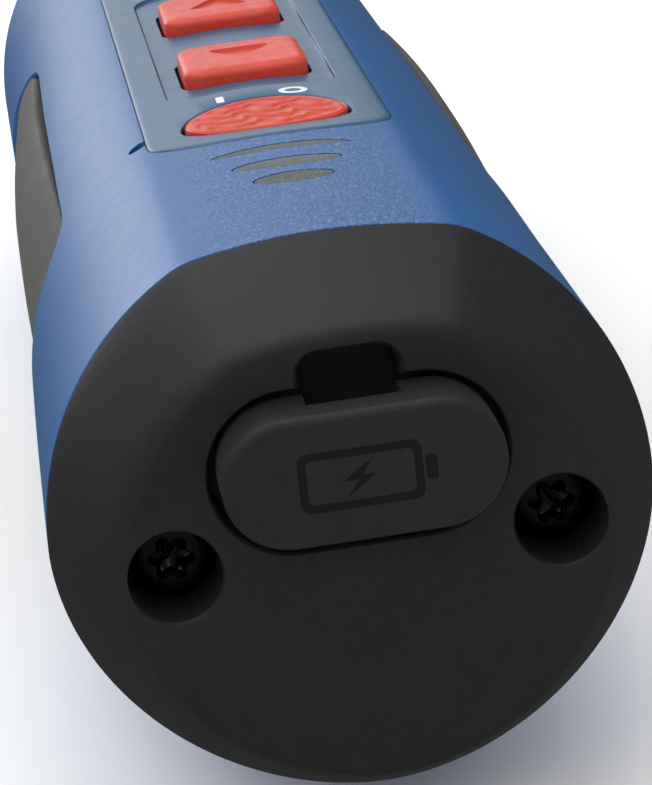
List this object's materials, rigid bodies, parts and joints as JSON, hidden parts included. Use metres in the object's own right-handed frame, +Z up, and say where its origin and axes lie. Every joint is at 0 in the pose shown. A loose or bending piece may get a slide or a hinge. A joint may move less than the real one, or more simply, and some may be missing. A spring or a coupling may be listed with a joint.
{
  "type": "non contact voltage tester",
  "caption": "Hand-held non contact voltage tester: round rubber-gripped body with a flat key deck, black end cap with hinged charging port cover, and a sensing nose.",
  "frame": {"origin": "middle of the footprint of the bounding box, on the surface that the tester rests on", "axes": "+Y from the end cap to the sensing nose along the body, +Z up out of the key deck, +X to the right seen from the end cap"},
  "size_m": [0.0422, 0.226, 0.0432],
  "materials": {
    "shell_blue": "satin moulded blue plastic",
    "fascia_blue": "smooth satin blue plastic",
    "cap_black": "fine matt black plastic",
    "grip_rubber": "matt dark olive grey rubber",
    "seal_rubber": "matt black rubber",
    "port_rubber": "matt charcoal rubber",
    "key_red": "satin red silicone rubber",
    "sounder_grey": "matt grey",
    "screw_black": "black oxide steel",
    "nickel": "nickel plate",
    "circuit_board": "green solder mask",
    "inner_black": "matt black plastic",
    "cell_sleeve": "heat-shrink sleeve",
    "switch_white": "matt white plastic",
    "clear_window": "clear polished window",
    "display": "display glass",
    "light_ring": "frosted translucent plastic",
    "led_red": "clear tinted epoxy",
    "led_green": "clear tinted epoxy",
    "copper": "bare copper"
  },
  "bodies": {
    "housing": {"upper_shell": "shell_blue", "lower_shell": "shell_blue", "fascia": "fascia_blue", "grip_left": "grip_rubber", "grip_right": "grip_rubber", "rest_pad": "grip_rubber", "end_cap": "cap_black", "end_cap_gasket": "seal_rubber", "end_cap_screw_left": "screw_black", "end_cap_screw_right": "screw_black", "rear_bulkhead": "inner_black", "usb_cover_strap": "port_rubber", "usb_socket": "nickel", "usb_contact_tongue": "inner_black", "charge_board": "circuit_board", "sounder_insert": "sounder_grey", "buzzer": "inner_black", "lcd_window": "clear_window", "lcd_module": "display", "main_board": "circuit_board", "controller_chip": "inner_black", "switch_body_down": "inner_black", "switch_body_up": "inner_black", "switch_body_power": "inner_black", "battery_cell": "cell_sleeve", "battery_cradle": "inner_black", "battery_tab_rear": "nickel", "battery_tab_front": "nickel", "shell_screw_rear_left": "screw_black", "shell_screw_rear_right": "screw_black", "shell_screw_front_left": "screw_black", "shell_screw_front_right": "screw_black", "light_ring": "light_ring", "nose_cap": "cap_black", "sensor_antenna": "copper", "sensor_board": "circuit_board", "signal_led_red": "led_red", "signal_led_green": "led_green"},
    "key_down_body": {"key_down": "key_red", "switch_plunger_down": "switch_white"},
    "key_up_body": {"key_up": "key_red", "switch_plunger_up": "switch_white"},
    "key_power_body": {"key_power": "key_red", "switch_plunger_power": "switch_white"},
    "port_cover_body": {"usb_cover": "port_rubber"}
  },
  "joints": [
    {"name": "key_down_press", "type": "slide", "parent": "housing", "child": "key_down_body", "axis": [0, 0, -1], "range_m": [0, 0.0007], "stiffness_N_per_m": 2500},
    {"name": "key_up_press", "type": "slide", "parent": "housing", "child": "key_up_body", "axis": [0, 0, -1], "range_m": [0, 0.0007], "stiffness_N_per_m": 2500},
    {"name": "key_power_press", "type": "slide", "parent": "housing", "child": "key_power_body", "axis": [0, 0, -1], "range_m": [0, 0.0007], "stiffness_N_per_m": 2500},
    {"name": "port_cover_hinge", "type": "hinge", "parent": "housing", "child": "port_cover_body", "pos_m": [0, -0.1102, 0.0239], "axis": [1, 0, 0], "range_deg": [0, 100]}
  ]
}
